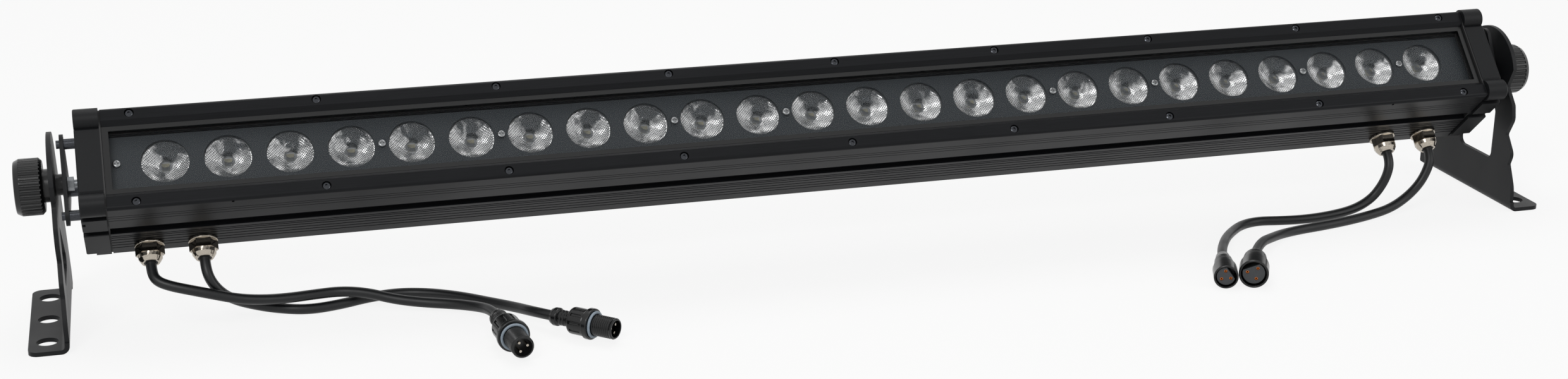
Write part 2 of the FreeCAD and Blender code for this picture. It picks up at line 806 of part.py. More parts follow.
def make_posts():
    body = new_body("posts")
    pad(body, "YZ_Plane", cap_face - 6, S.post_length + 6,
        rounds=[(depth, rise, S.screw_radius) for depth, rise in posts])
    pad(body, "YZ_Plane", cap_face, S.post_length,
        rounds=[(depth, rise, S.post_radius) for depth, rise in posts])
    pocket(body, "YZ_Plane", plate_inner - 5.5, 7,
           rounds=[(depth, rise, S.screw_radius + S.fit) for depth, rise in posts])
    mount_on_bar(body)
    keep(body, "standoff_posts_right")
    mirrored(body, "standoff_posts_left")
    screws = new_body("post_screws")
    pad(screws, "YZ_Plane", plate_inner - 5, S.pivot_plate + 5,
        rounds=[(depth, rise, S.screw_radius) for depth, rise in posts])
    pad(screws, "YZ_Plane", plate_outer, 2.3,
        rounds=[(depth, rise, S.screw_radius * 1.85) for depth, rise in posts])
    pocket(screws, "YZ_Plane", plate_outer + 1.2, 2,
           rounds=[(depth, rise, S.screw_radius * 0.7) for depth, rise in posts])
    mount_on_bar(screws)
    keep(screws, "pivot_plate_screws_right")
    mirrored(screws, "pivot_plate_screws_left")


def make_pivot():
    plate = new_body("pivot_plate")
    drawing = Drawing(plate, "YZ_Plane", plate_inner)
    drawing.belt([(depth, rise, S.pivot_plate_rim) for depth, rise in posts])
    feature = plate.newObject("PartDesign::Pad", "Pad")
    feature.Profile = drawing.settle()
    bind(feature, "Length", S.pivot_plate)
    holes = [(depth, rise, S.screw_radius + S.fit) for depth, rise in posts]
    holes.append((S.pivot_depth, S.pivot_rise, S.stud_radius + S.fit))
    pocket(plate, "YZ_Plane", plate_inner - 1, S.pivot_plate + 2, rounds=holes)
    mount_on_bar(plate)
    keep(plate, "pivot_plate_right")
    mirrored(plate, "pivot_plate_left")

    bore = S.stud_radius + S.fit
    nut = new_body("pivot_nut")
    pad(nut, "YZ_Plane", plate_inner - 4, 4, hexagon(S.stud_radius * 3.2), rounds=[(0, 0, bore)])
    mount_on_bar(nut, 0, S.pivot_depth, S.pivot_rise)
    keep(nut, "pivot_nut_right")
    mirrored(nut, "pivot_nut_left")

    spacer = new_body("pivot_spacer")
    pad(spacer, "YZ_Plane", plate_outer, S.spacer, rounds=[(0, 0, S.spacer_radius), (0, 0, bore)])
    mount_on_bar(spacer, 0, S.pivot_depth, S.pivot_rise)
    keep(spacer, "pivot_spacer_right")
    mirrored(spacer, "pivot_spacer_left")


# ---------------------------------------------------------------- brackets and knobs


def by_pivot(corners):
    """Corners given as Y from the pivot and height as a share of the pivot's height."""
    return [(S.pivot_y + y, S.pivot_height * share, radius) for y, share, radius in corners]


def bracket_side():
    """The upright sheet up to the head; its back edge is tangent to the head."""
    lean_up, lean_out = sine(S.back_lean), cosine(S.back_lean)
    low = S.bend_radius + 1
    touch = (S.pivot_y + S.head_radius * lean_out, S.pivot_height + S.head_radius * lean_up)
    drop = touch[1] - low - 4
    foot_of_back = (touch[0] + drop * lean_up / lean_out, low + 4)
    return [
        (S.foot_front + 1.3, low),
        *by_pivot(BRACKET_FRONT),
        (S.pivot_y, S.pivot_height),
        touch,
        foot_of_back,
        (S.toe, 1.2, 1.5),
        (S.foot_back + 1, 1.2),
        (S.foot_back + 1, low),
    ]


def make_bracket():
    body = new_body("bracket")
    low = S.bend_radius + 1
    span = S.foot_back - S.foot_front
    edge = bracket_inner + S.foot_width
    pad(body, "YZ_Plane", bracket_inner, S.sheet, bracket_side())
    head = [(S.pivot_y, S.pivot_height, S.head_radius)]
    pad(body, "YZ_Plane", bracket_inner, S.sheet, rounds=head)
    pad(body, "XZ_Plane", S.foot_front, span, [
        (bracket_inner, low + 1),
        (bracket_inner, 0, S.bend_radius),
        (bracket_inner + low + 1, 0),
        (bracket_inner + low + 1, S.sheet),
        (bracket_outer, S.sheet, S.bend_radius - S.sheet),
        (bracket_outer, low + 1),
    ])
    pad(body, "XY_Plane", 0, S.sheet, [
        (bracket_inner + low, S.foot_front),
        (edge, S.foot_front, 6.5),
        (edge, S.foot_back, 6.5),
        (bracket_inner + low, S.foot_back),
    ])
    through = (bracket_inner - 1, S.sheet + 2)
    pocket(body, "YZ_Plane", *through, by_pivot(BRACKET_WINDOW))
    pocket(body, "YZ_Plane", *through, by_pivot(BRACKET_NOTCH))
    pivot = [(S.pivot_y, S.pivot_height, S.stud_radius + S.fit)]
    pocket(body, "YZ_Plane", *through, rounds=pivot)
    row = bracket_inner + S.foot_hole_offset
    holes = [
        (row, S.foot_hole_y + S.foot_hole_pitch * k, S.foot_hole_radius) for k in (-1, 0, 1)
    ]
    pocket(body, "XY_Plane", -1, S.sheet + 2, rounds=holes)
    keep(body, "bracket_right")
    mirrored(body, "bracket_left")


def make_knob():
    """Drawn along Z from the bracket's outer face, then turned to point along X."""
    spot = f"vector({bracket_outer.text}; Sizes.pivot_y; Sizes.pivot_height)"
    aim = f"placement({spot}; rotation(vector(0; 1; 0); 90))"
    bore = S.stud_radius + S.fit
    hub = S.knob_washer + S.knob_hub
    end = hub + S.knob_length
    knob = new_body("knob")
    turned(knob, [
        (bore, S.knob_washer),
        (S.knob_hub_radius, S.knob_washer),
        (S.knob_hub_radius, hub),
        (S.knob_radius - 2, hub),
        (S.knob_radius, hub + 2),
        (S.knob_radius, end - 3.5, 2),
        (S.knob_radius - 1.8, end, 1.5),
        (S.knob_radius - 4.4, end, 0.8),
        (S.knob_radius - 5.4, end - 2.2),
        (0, end - 2.2),
        (0, end - 5),
        (bore, end - 5),
    ])
    doc.recompute()
    groove = pocket(knob, "XY_Plane", hub - 1, S.knob_length - 2.5,
                    rounds=[(S.knob_radius + 0.35, 0, 1.0)])
    ring_of(knob, groove, S.knob_ribs)
    stud = new_body("stud")
    reach = bracket_outer - cap_face - 1.3
    turned(stud, [(0, -reach), (S.stud_radius, -reach), (S.stud_radius, end - 5.2), (0, end - 5.2)])
    washer = new_body("washer")
    pad(washer, "XY_Plane", 0, S.knob_washer, rounds=[(0, 0, S.knob_hub_radius - 0.6), (0, 0, bore)])
    for body, label in ((knob, "knob"), (stud, "knob_stud"), (washer, "knob_washer")):
        body.setExpression("Placement", aim)
        keep(body, label + "_right")
        mirrored(body, label + "_left")


# ---------------------------------------------------------------- inside


def make_electronics():
    """The control board stands near the right end, and the driver beside it."""
    control_end = S.bar_half_length - CONTROL_FROM_END
    control_start = control_end - CONTROL_LENGTH
    driver_end = control_start - CONTROL_GAP
    half = 22
    driver = new_body("driver")
    pad(driver, "XZ_Plane", web_back, 22,
        box_corners(driver_end - DRIVER_LENGTH, driver_end, -half, half, 2))
    mount_on_bar(driver)
    keep(driver, "led_driver")
    board = new_body("control")
    pad(board, "XZ_Plane", web_back + 3, S.board_thickness,
        box_corners(control_start, control_end, -half, half))
    feet = [(x, z, 2.5) for x in (control_start + 5, control_end - 5) for z in (-17, 17)]
    pad(board, "XZ_Plane", web_back, 3.2, rounds=feet)
    parts = [
        box_corners(control_start + left, control_start + right, low, high)
        for left, right, low, high in ((20, 50, -12, 12), (65, 85, -16, 4), (100, 122, -10, 14))
    ]
    pad(board, "XZ_Plane", web_back + 3 + S.board_thickness, 9, *parts)
    mount_on_bar(board)
    keep(board, "control_board")


# ---------------------------------------------------------------- glands


def gland_at(body, x):
    """Stands a gland piece, drawn along Z, on the lower side of the bar."""
    mount_on_bar(body, x, S.gland_depth, -S.bar_half_height, 180)


def gland_body():
    body = new_body("gland_body")
    bore = S.cable_radius + S.fit
    inner = -S.wall - S.fin_cut - 3
    turned(body, [
        (bore, inner), (S.gland_stem_radius, inner), (S.gland_stem_radius, 0),
        (S.gland_flange_radius, 0, 0.5), (S.gland_flange_radius, 2, 0.5),
        (S.gland_neck_radius, 2), (S.gland_neck_radius, 8), (bore, 8),
    ])
    return body


def gland_nut():
    """A hexagon with a round dome whose mouth holds the rubber seal."""
    body = new_body("gland_nut")
    mouth = S.cable_radius + 1
    neck = S.gland_neck_radius + S.fit
    shoulder = S.gland_across / 2 - 0.1
    pad(body, "XY_Plane", 2, 6.2, hexagon(S.gland_across), rounds=[(0, 0, neck)])
    turned(body, [
        (mouth + S.fit, 8.2), (shoulder, 8.2), (shoulder - 0.3, 10.8),
        (shoulder - 1.6, 13.0), (mouth + 1.3, S.gland_length), (mouth + S.fit, S.gland_length),
    ])
    return body


def gland_seal():
    body = new_body("gland_seal")
    mouth = S.cable_radius + 1
    turned(body, [(0, 8), (mouth, 8), (mouth, S.gland_length), (0, S.gland_length)])
    return body


def gland_locknut():
    body = new_body("gland_locknut")
    seat = -S.wall - S.fin_cut
    pad(body, "XY_Plane", seat - 2.5, 2.5,
        rounds=[(0, 0, S.gland_stem_radius + 1.6), (0, 0, S.gland_stem_radius + S.fit)])
    return body


def make_glands():
    kinds = {
        "gland_bodies": gland_body,
        "gland_nuts": gland_nut,
        "gland_seals": gland_seal,
        "gland_locknuts": gland_locknut,
    }
    for label, make in kinds.items():
        bodies = []
        for x in gland_x.values():
            bodies.append(make())
            gland_at(bodies[-1], x)
        group(label, bodies)


# ---------------------------------------------------------------- cables

# Each route leaves its gland square to the bar and ends at the back of its connector. The points
# between are (x from the gland, y, z) on or over the floor; a z of None is the connector's height.
LEAD = 7.6
ROUTES = {
    "plug_large": [
        (3, -44.5, 35.5), (11, -48.5, 31.5), (23, -50.5, 29.5), (37.5, -52, 28),
        (53.5, -50.5, 24), (69.5, -44, 18.5), (86, -36.5, 14), (104, -31, 12.5),
        (122, -29.5, 12.5), (139, -36, 12), (156, -45.5, 9), (175, -50.5, 6.5),
        (196, -59.5, 6.5), (211, -76, 9), (216.1, -90.1, None), (217.5, -101, None),
    ],
    "plug_small": [
        (2.5, -43, 33), (8.5, -43.5, 24.5), (17, -39, 17), (28.5, -33.5, 10.5),
        (44, -32, 5.5), (64.5, -35.5, 3.5), (86.5, -31, 3.5), (106.5, -22.5, 3.5),
        (127.5, -19.5, 3.5), (147.5, -25.5, 3.5), (167.5, -38, 3.5), (185.5, -56, 4),
        (198.5, -73.5, 6), (209, -98.2, None), (219, -108, None),
    ],
    "socket_small": [
        (-3, -41.5, 32.5), (-9.5, -40, 23), (-20, -39, 14.5), (-34, -41.5, 8),
        (-51, -44.5, 4.2), (-71, -47, 3.5), (-91, -45, 3.5), (-109, -41, 3.5),
        (-125, -46, 3.5), (-140, -60, 4), (-154, -78, 6), (-170.9, -106.1, None), (-176.7, -120, None),
    ],
    "socket_large": [
        (-4, -41.5, 33), (-12.5, -42, 23.5), (-25, -43.5, 15), (-41, -47.5, 8),
        (-60, -53, 4.2), (-81, -59.5, 3.5), (-102, -64, 3.5), (-123, -67.5, 3.5),
        (-142, -75, 4.5), (-157.5, -87.5, 7), (-169.6, -98.2, 9.2), (-184.7, -117.9, None),
        (-189, -125.8, None),
    ],
}


def route_points(name):
    """The whole route, from the gland's face to the connector's back."""
    height = getattr(S, name + "_radius").value
    y, z = (c.value for c in on_bar(S.gland_depth, -S.bar_half_height - S.gland_length))
    start = V(gland_x[name].value, y, z)
    lead = V(0, -math.sin(math.radians(S.tilt.value)), -math.cos(math.radians(S.tilt.value)))
    rest = [V(start.x + x, y, height if z is None else z) for x, y, z in ROUTES[name]]
    return [start, start + lead * LEAD, *rest]


def rounded_path(points):
    """Straight runs joined by tangent arcs, as large as the runs allow."""
    edges, radii, last = [], [], points[0]
    for before, here, after in zip(points, points[1:], points[2:]):
        back, on = before - here, after - here
        turn = math.pi - back.getAngle(on)
        cut = 0.45 * min(back.Length, on.Length)
        radii.append(cut / math.tan(turn / 2))
        start = here + back.normalize() * cut
        end = here + on.normalize() * cut
        inward = (back + on).normalize()
        middle = here + inward * (radii[-1] / math.cos(turn / 2) - radii[-1])
        edges.append(Part.LineSegment(last, start).toShape())
        edges.append(Part.Arc(start, middle, end).toShape())
        last = end
    edges.append(Part.LineSegment(last, points[-1]).toShape())
    return Part.Wire(edges), radii


def make_cable(name):
    points = route_points(name)
    path, radii = rounded_path(points)
    radius = S.cable_radius.value
    circle = Part.Circle(points[0], points[1] - points[0], radius)
    tube = path.makePipeShell([Part.Wire(circle.toShape())], True, False)
    cable = doc.addObject("Part::Feature", "cable_" + name)
    cable.Shape = tube
    expected = math.pi * radius**2 * path.Length
    print(
        f"cable_{name}: length {path.Length:.1f}, least radius {min(radii[2:]):.1f},"
        f" radii {[round(r) for r in radii]}, volume / expected {tube.Volume / expected:.5f}"
    )
    keep(cable, "cable_" + name)


# ---------------------------------------------------------------- plugs and sockets


# how far each connector is turned round its cable, in degrees
ROLLS = {"plug_large": 44, "plug_small": -2, "socket_small": 14, "socket_large": 86}


def at_cable_end(body, name, label):
    """Stands a piece, drawn along Z, at the end of its cable."""
    points = route_points(name)
    along = points[-1] - points[-2]
    aim = FreeCAD.Rotation(V(0, 0, 1), along)
    body.Placement = FreeCAD.Placement(points[-1], aim * FreeCAD.Rotation(V(0, 0, 1), ROLLS[name]))
    keep(body, f"{name}_{label}")


def ridges(radius, start, pitch, count, cut):
    """Corners of a ridged stretch of a turned outline."""
    corners = []
    for k in range(count):
        foot = start + k * pitch
        corners.append((radius - cut, foot))
        corners.append((radius, foot + pitch * 0.35))
        corners.append((radius, foot + pitch * 0.65))
    return corners + [(radius - cut, start + count * pitch)]


def make_plug(name, boot_end, grip_end, grips):
    """A plug: ridged boot, round grip, flange, then an open threaded barrel with three pins."""
    flange = getattr(S, name + "_radius")
    length = getattr(S, name + "_length")
    barrel = flange * 0.68
    grip = flange - 1.4
    flange_back = grip_end + 1.2
    flange_front = flange_back + 4.0
    thread = flange_front + 3.0
    recess = length - 8.0
    body = new_body(name)
    turned(body, [
        (0, 0),
        (5.2, 0),
        (6.2, 2.2, 1),
        (6.2, 5.2, 1),
        *ridges(5.3, 6.2, 2.4, round((boot_end - 6.2) / 2.4), 0.7),
        (grip, boot_end + 2.6, 2),
        (grip, grip_end),
        (flange - 1.8, flange_back),
        (flange, flange_back, 0.6),
        (flange, flange_front, 0.8),
        (barrel, flange_front),
        (barrel, thread - 0.5),
        *ridges(barrel, thread, 1.5, int((length - thread - 1.5).value / 1.5), 0.5),
        (barrel, length - 0.8),
        (barrel - 0.6, length),
        (barrel - 1.4, length),
        (barrel - 1.4, recess),
        (0, recess),
    ])
    groove = pocket(body, "XY_Plane", boot_end + 4.5, grip_end - boot_end - 5.5,
                    rounds=[(grip + 0.5, 0, 1.2)])
    ring_of(body, groove, grips)
    at_cable_end(body, name, "body")
    seal = doc.addObject("Part::Torus", name + "_seal")
    bind(seal, "Radius1", barrel + 1.0)
    bind(seal, "Radius2", 0.95)
    points = route_points(name)
    along = (points[-1] - points[-2]).normalize()
    seal.Placement = FreeCAD.Placement(
        points[-1] + along * (flange_front + 1.0),
        FreeCAD.Rotation(V(0, 0, 1), along),
    )
    keep(seal, name + "_o_ring")
    pins = new_body(name + "_pins")
    reach = barrel * 0.46
    spots = [(reach * math.cos(math.radians(a)), reach * math.sin(math.radians(a)), 0.85)
             for a in (90, 210, 330)]
    pad(pins, "XY_Plane", recess, 6.2, rounds=spots)
    at_cable_end(pins, name, "pins")


def make_socket(name, ring_back):
    """A socket: tapered boot and core, a turning ring, a grey insert with a flat and three contacts."""
    ring = getattr(S, name + "_radius")
    length = getattr(S, name + "_length")
    boot = ring - 1.6
    core = ring * 0.66
    insert_radius = ring * 0.74
    insert_back = ring_back + 8.0
    lip = 2.6
    body = new_body(name)
    turned(body, [
        (0, 0),
        (5.0, 0),
        (boot - 1.4, 6.0, 4),
        (boot - 0.6, 9.0),
        (boot - 0.6, 12.6),
        (boot - 1.2, 13.2),
        (boot - 1.2, 14.2),
        (boot, 14.8, 0.4),
        (boot, ring_back - S.gap, 0.6),
        (core, ring_back - S.gap),
        (core, insert_back),
        (0, insert_back),
    ])
    at_cable_end(body, name, "body")
    coupling = new_body(name + "_ring")
    bore = ring * 0.85
    turned(coupling, [
        (core + S.fit, ring_back),
        (ring - 1.2, ring_back, 0.8),
        (ring - 1.2, ring_back + 6.5),
        (ring, ring_back + 7.7),
        (ring, length, 0.9),
        (bore, length, 0.5),
        (bore, ring_back + lip),
        (core + S.fit, ring_back + lip),
    ])
    at_cable_end(coupling, name, "ring")
    insert = new_body(name + "_insert")
    reach = insert_radius * 0.58
    spots = [(reach * math.cos(math.radians(a)), reach * math.sin(math.radians(a)))
             for a in (60, 180, 300)]
    face = length - 2.2
    pad(insert, "XY_Plane", insert_back, face - insert_back, rounds=[(0, 0, insert_radius)])
    pocket(insert, "XY_Plane", face - 6, 7, rounds=[(x, y, 1.15) for x, y in spots])
    wide = insert_radius + 1
    flat = box_corners(insert_radius * 0.62, wide, -wide, wide)
    pocket(insert, "XY_Plane", insert_back + 3, length, flat)
    at_cable_end(insert, name, "insert")
    contacts = new_body(name + "_contacts")
    for x, y in spots:
        pad(contacts, "XY_Plane", face - 6, 5.2, rounds=[(x, y, 1.05), (x, y, 0.55)])
    at_cable_end(contacts, name, "contacts")


# ---------------------------------------------------------------- the whole lamp

make_housing()
make_window()
make_lens_plate()
make_lenses()
make_boards()
make_screws()
make_end_cap()
make_gasket()
make_cap_screws()
make_posts()
make_pivot()
make_bracket()
make_knob()
make_electronics()
make_glands()
for cable_name in ROUTES:
    make_cable(cable_name)
make_plug("plug_large", 16.0, 33.0, 10)
make_plug("plug_small", 13.5, 27.0, 10)
make_socket("socket_large", 17.0)
make_socket("socket_small", 17.0)

doc.recompute()
for thing in doc.Objects:
    if "Invalid" in thing.State or "Error" in thing.State:
        raise ValueError(f"{thing.Label} failed: {thing.State}")
os.makedirs("parts", exist_ok=True)
for node in nodes:
    if node.Shape.isNull() or not node.Shape.isValid():
        raise ValueError(f"{node.Label} has no valid shape")
for node in nodes:
    node.Shape.exportStep(f"parts/{node.Label}.step")
print(len(nodes), "parts")
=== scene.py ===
"""Outdoor wall washer light: a black LED bar on two tilting brackets, with four short cables.

Lengths are metres in the row frame. X runs along the bar and Z is up. The bar frame used below has
a depth behind the front flange and a rise up the lamp face, in millimetres, as the bar was drawn.
"""

import json
import math

import bmesh
import bpy
import numpy as np
from mathutils import Matrix, Vector


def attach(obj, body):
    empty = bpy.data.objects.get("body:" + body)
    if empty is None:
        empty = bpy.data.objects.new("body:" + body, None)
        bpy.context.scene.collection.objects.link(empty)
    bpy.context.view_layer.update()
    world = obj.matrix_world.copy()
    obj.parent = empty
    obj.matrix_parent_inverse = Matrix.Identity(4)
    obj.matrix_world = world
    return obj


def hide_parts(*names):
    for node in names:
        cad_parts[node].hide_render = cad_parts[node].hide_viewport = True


MM = 0.001
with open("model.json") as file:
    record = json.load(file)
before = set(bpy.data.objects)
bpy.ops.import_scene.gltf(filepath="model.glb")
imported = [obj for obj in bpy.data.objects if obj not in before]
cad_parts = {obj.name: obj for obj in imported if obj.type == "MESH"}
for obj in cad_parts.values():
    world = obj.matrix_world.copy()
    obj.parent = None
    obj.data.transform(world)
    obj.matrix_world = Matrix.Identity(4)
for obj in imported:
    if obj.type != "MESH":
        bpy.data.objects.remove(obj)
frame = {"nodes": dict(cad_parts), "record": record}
nodes = frame["nodes"]
scene = bpy.context.scene
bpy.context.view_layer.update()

# ---------------------------------------------------------------- camera

PHOTO_WIDTH = 2480
PHOTO_HEIGHT = 600
FOCAL_PIXELS = 3587.36
OPTICAL_CENTRE = (1249.12, 363.03)
SENSOR = 36.0
CAMERA_SPOT = (-0.45632, -1.49828, 0.56610)
YAW, PITCH, ROLL = 0.2789, 0.3391, 0.0029

ahead = Vector((
    math.sin(YAW) * math.cos(PITCH), math.cos(YAW) * math.cos(PITCH), -math.sin(PITCH),
))
level = Vector((math.cos(YAW), -math.sin(YAW), 0))
upward = level.cross(ahead)
right = math.cos(ROLL) * level + math.sin(ROLL) * upward
up = math.cos(ROLL) * upward - math.sin(ROLL) * level

lens_data = bpy.data.cameras.new("camera")
lens_data.sensor_fit = "HORIZONTAL"
lens_data.sensor_width = SENSOR
lens_data.lens = FOCAL_PIXELS / PHOTO_WIDTH * SENSOR
lens_data.shift_x = (PHOTO_WIDTH / 2 - OPTICAL_CENTRE[0]) / PHOTO_WIDTH
lens_data.shift_y = (OPTICAL_CENTRE[1] - PHOTO_HEIGHT / 2) / PHOTO_WIDTH
lens_data.clip_start = 0.05
camera = bpy.data.objects.new("camera", lens_data)
camera.matrix_world = Matrix.Translation(CAMERA_SPOT) @ Matrix((
    (right.x, up.x, -ahead.x), (right.y, up.y, -ahead.y), (right.z, up.z, -ahead.z),
)).to_4x4()
scene.collection.objects.link(camera)
scene.camera = camera
scene.view_settings.view_transform = "Standard"

# ---------------------------------------------------------------- nodes and colours


def srgb(code):
    """'#rrggbb' as linear red, green, blue and alpha 1, by the sRGB curve."""
    parts = [int(code[k:k + 2], 16) / 255 for k in (1, 3, 5)]
    return tuple(p / 12.92 if p <= 0.04045 else ((p + 0.055) / 1.055) ** 2.4 for p in parts) + (1,)


def add(tree, kind, links=None, values=None, **settings):
    """Adds a node: settings are its properties, values its sockets' numbers, links their feeds."""
    node = tree.nodes.new(kind)
    for name, value in settings.items():
        setattr(node, name, value)
    for name, value in (values or {}).items():
        node.inputs[name].default_value = value
    for name, source in (links or {}).items():
        tree.links.new(source, node.inputs[name])
    return node


def new_material(name, **shader):
    """A material with one Principled shader; returns it with its tree, shader and coordinates."""
    material = bpy.data.materials.new(name)
    material.use_nodes = True
    tree = material.node_tree
    principled = tree.nodes["Principled BSDF"]
    for socket, value in shader.items():
        principled.inputs[socket.replace("_", " ")].default_value = value
    place = add(tree, "ShaderNodeTexCoord").outputs["Object"]
    return material, tree, principled, place


def grained(name, dark, light, rough, grain, relief, stretch=(1, 1, 1), cloud=60, **shader):
    """A solid finish: two tones in a grain of that size, with relief, and a slow cloud of gloss.

    grain, relief and cloud are in mm. stretch divides the pattern's frequency along X, Y and Z, so
    a long stretch draws lines.
    """
    material, tree, principled, place = new_material(name, **shader)
    scale = tuple(1 / s for s in stretch)
    drawn = add(tree, "ShaderNodeMapping", {"Vector": place}, {"Scale": scale})
    fine = add(tree, "ShaderNodeTexNoise", {"Vector": drawn.outputs["Vector"]},
               {"Scale": 1 / (grain * MM), "Detail": 2.0, "Roughness": 0.6})
    slow = add(tree, "ShaderNodeTexNoise", {"Vector": place},
               {"Scale": 1000 / cloud, "Detail": 3.0})
    tone = add(tree, "ShaderNodeMix", {0: fine.outputs["Fac"]}, data_type="RGBA")
    tone.inputs[6].default_value = srgb(dark)
    tone.inputs[7].default_value = srgb(light)
    tree.links.new(tone.outputs[2], principled.inputs["Base Color"])
    gloss = add(tree, "ShaderNodeMapRange", {"Value": slow.outputs["Fac"]},
                {"From Min": 0.3, "From Max": 0.7, "To Min": rough[0], "To Max": rough[1]})
    tree.links.new(gloss.outputs["Result"], principled.inputs["Roughness"])
    bump = add(tree, "ShaderNodeBump", {"Height": fine.outputs["Fac"]},
               {"Strength": 1.0, "Distance": relief * MM})
    tree.links.new(bump.outputs["Normal"], principled.inputs["Normal"])
    return material


# ---------------------------------------------------------------- finishes

TILT = math.radians(43.75)
PIVOT_DEPTH, PIVOT_RISE = 34.5, 1.0
PIVOT_Y, PIVOT_Z = -15.2, 99.6
LENS_PITCH = 40.0
LENS_COUNT = 24
# the lens row's height up the lamp face once the row frame is turned by the tilt, in metres
LENS_AXIS_RISE = (PIVOT_Y * math.sin(TILT) + PIVOT_Z * math.cos(TILT) - PIVOT_RISE) * MM
# a grain forty times as long along the bar as across it
ALONG = (40, 1, 1)
# the grid moulded into each lens, in mm, and the share of its height that shows on face and cup
FACET_PITCH = 0.9
FACE_FACETS, CUP_FACETS = 0.6, 0.35

# extruded aluminium, black anodised: faint lines from the die run along the bar, with a soft sheen
extruded_anodised_aluminium = grained(
    "extruded_anodised_aluminium", "#0b0c0d", "#191a1d", (0.3, 0.4), 0.6, 0.006, ALONG,
    Metallic=0.1, Specular_IOR_Level=0.13)
# die-cast aluminium, black powder coat: a fine orange peel that breaks up the highlights
powder_coated_casting = grained(
    "powder_coated_casting", "#0b0c0d", "#18191b", (0.4, 0.5), 0.7, 0.03, Specular_IOR_Level=0.17)
# steel sheet, black powder coat: satin, a little finer than on the castings
powder_coated_steel = grained(
    "powder_coated_steel", "#0e0f10", "#1c1d1f", (0.38, 0.5), 0.6, 0.025, Specular_IOR_Level=0.18)
# glass-filled nylon, moulded: smooth, with a slightly uneven gloss
moulded_nylon = grained(
    "moulded_nylon", "#070808", "#0f1011", (0.2, 0.3), 0.9, 0.01, Specular_IOR_Level=0.4)
# moulded ABS plate with a spark-eroded texture: dark slate grey with pale specks
textured_abs_plate = grained(
    "textured_abs_plate", "#1b1f22", "#33393e", (0.5, 0.62), 0.5, 0.03, Specular_IOR_Level=0.3)
# PVC cable jacket: dull black with a soft shine where light grazes it
pvc_jacket = grained(
    "pvc_jacket", "#0b0c0d", "#16181a", (0.36, 0.48), 1.2, 0.015, cloud=25, Specular_IOR_Level=0.35)
# silicone and EPDM seals: matt black
epdm_rubber = grained("epdm_rubber", "#0c0c0d", "#161617", (0.55, 0.7), 0.8, 0.02)
# pale blue-grey silicone ring, matt and slightly dusty
pale_silicone = grained("pale_silicone", "#74808b", "#9aa6b1", (0.4, 0.55), 1.5, 0.02)
# grey nylon insert of a socket
grey_nylon = grained("grey_nylon", "#2c2e31", "#3d4043", (0.4, 0.5), 0.8, 0.015)
# brass, nickel plated: bright and warm, with faint turning marks
nickel_plated_brass = grained(
    "nickel_plated_brass", "#8f877c", "#c8c0b4", (0.08, 0.16), 0.6, 0.004, Metallic=1.0)
# stainless screws, tumbled
stainless_steel = grained(
    "stainless_steel", "#77797b", "#b0b2b3", (0.2, 0.32), 0.5, 0.006, Metallic=1.0)
# zinc-plated steel: dull silver
zinc_plated_steel = grained(
    "zinc_plated_steel", "#7d8083", "#a7aaad", (0.3, 0.42), 0.8, 0.008, Metallic=1.0)
# steel screws and posts, black oxide: nearly black with a metal's highlight
black_oxide_steel = grained(
    "black_oxide_steel", "#26272a", "#505256", (0.14, 0.24), 0.6, 0.008, Metallic=1.0)
# plain brass washer, a little tarnished
tarnished_brass = grained(
    "tarnished_brass", "#7b5f33", "#b48f4c", (0.25, 0.4), 1.0, 0.006, Metallic=1.0)
# phosphor bronze contacts
bronze_contact = grained(
    "bronze_contact", "#a04c22", "#d07a3c", (0.25, 0.38), 0.6, 0.004, Metallic=1.0)
# glass-fibre board with green mask, and the LED board with white mask
green_solder_mask = grained("green_solder_mask", "#0f3d24", "#185a36", (0.3, 0.4), 2.0, 0.01)
white_solder_mask = grained("white_solder_mask", "#b9bcbe", "#d5d7d8", (0.35, 0.45), 2.0, 0.01)
# phosphor under clear silicone: pale yellow and glossy
led_phosphor = grained("led_phosphor", "#9a9272", "#c3bd9f", (0.15, 0.25), 1.0, 0.01)
# bare aluminium case of the driver
plain_aluminium = grained(
    "plain_aluminium", "#9a9da0", "#c2c5c8", (0.3, 0.4), 0.7, 0.01, ALONG, Metallic=1.0)


def tempered_glass():
    """Clear float glass: almost all light passes, and the rest is a clean reflection."""
    material, tree, principled, place = new_material(
        "tempered_glass", Base_Color=srgb("#101416"), Alpha=0.07, IOR=1.52, Coat_Weight=0.4,
        Coat_Roughness=0.03)
    film = add(tree, "ShaderNodeTexNoise", {"Vector": place}, {"Scale": 14.0, "Detail": 3.0})
    dull = add(tree, "ShaderNodeMapRange", {"Value": film.outputs["Fac"]},
               {"From Min": 0.3, "From Max": 0.7, "To Min": 0.03, "To Max": 0.08})
    tree.links.new(dull.outputs["Result"], principled.inputs["Roughness"])
    return material


def facets(tree, place):
    """Height in metres of the lenses' diamond grid, square to the lamp face.

    Height is the lesser of two triangle waves, one along x + v and one along x - v, where v is the
    height up the face.
    """
    face = add(tree, "ShaderNodeMapping", {"Vector": place}, {"Rotation": (TILT, 0, 0)})
    axes = add(tree, "ShaderNodeSeparateXYZ", {"Vector": face.outputs["Vector"]})
    waves = []
    for sign in ("ADD", "SUBTRACT"):
        slanted = add(tree, "ShaderNodeMath",
                      {0: axes.outputs["X"], 1: axes.outputs["Z"]}, operation=sign)
        waves.append(add(tree, "ShaderNodeMath", {0: slanted.outputs[0]}, {1: FACET_PITCH * MM},
                         operation="PINGPONG"))
    lesser = add(tree, "ShaderNodeMath", {0: waves[0].outputs[0], 1: waves[1].outputs[0]},
                 operation="MINIMUM")
    return lesser.outputs[0]


def acrylic_face():
    """Moulded acrylic: clear, with a grid of small facets on the face that scatters glints."""
    material, tree, principled, place = new_material(
        "faceted_acrylic", Base_Color=srgb("#c3c9cd"), Alpha=0.1, Roughness=0.06, IOR=1.49)
    bump = add(tree, "ShaderNodeBump", {"Height": facets(tree, place)},
               {"Strength": 0.7, "Distance": FACE_FACETS})
    tree.links.new(bump.outputs["Normal"], principled.inputs["Normal"])
    return material


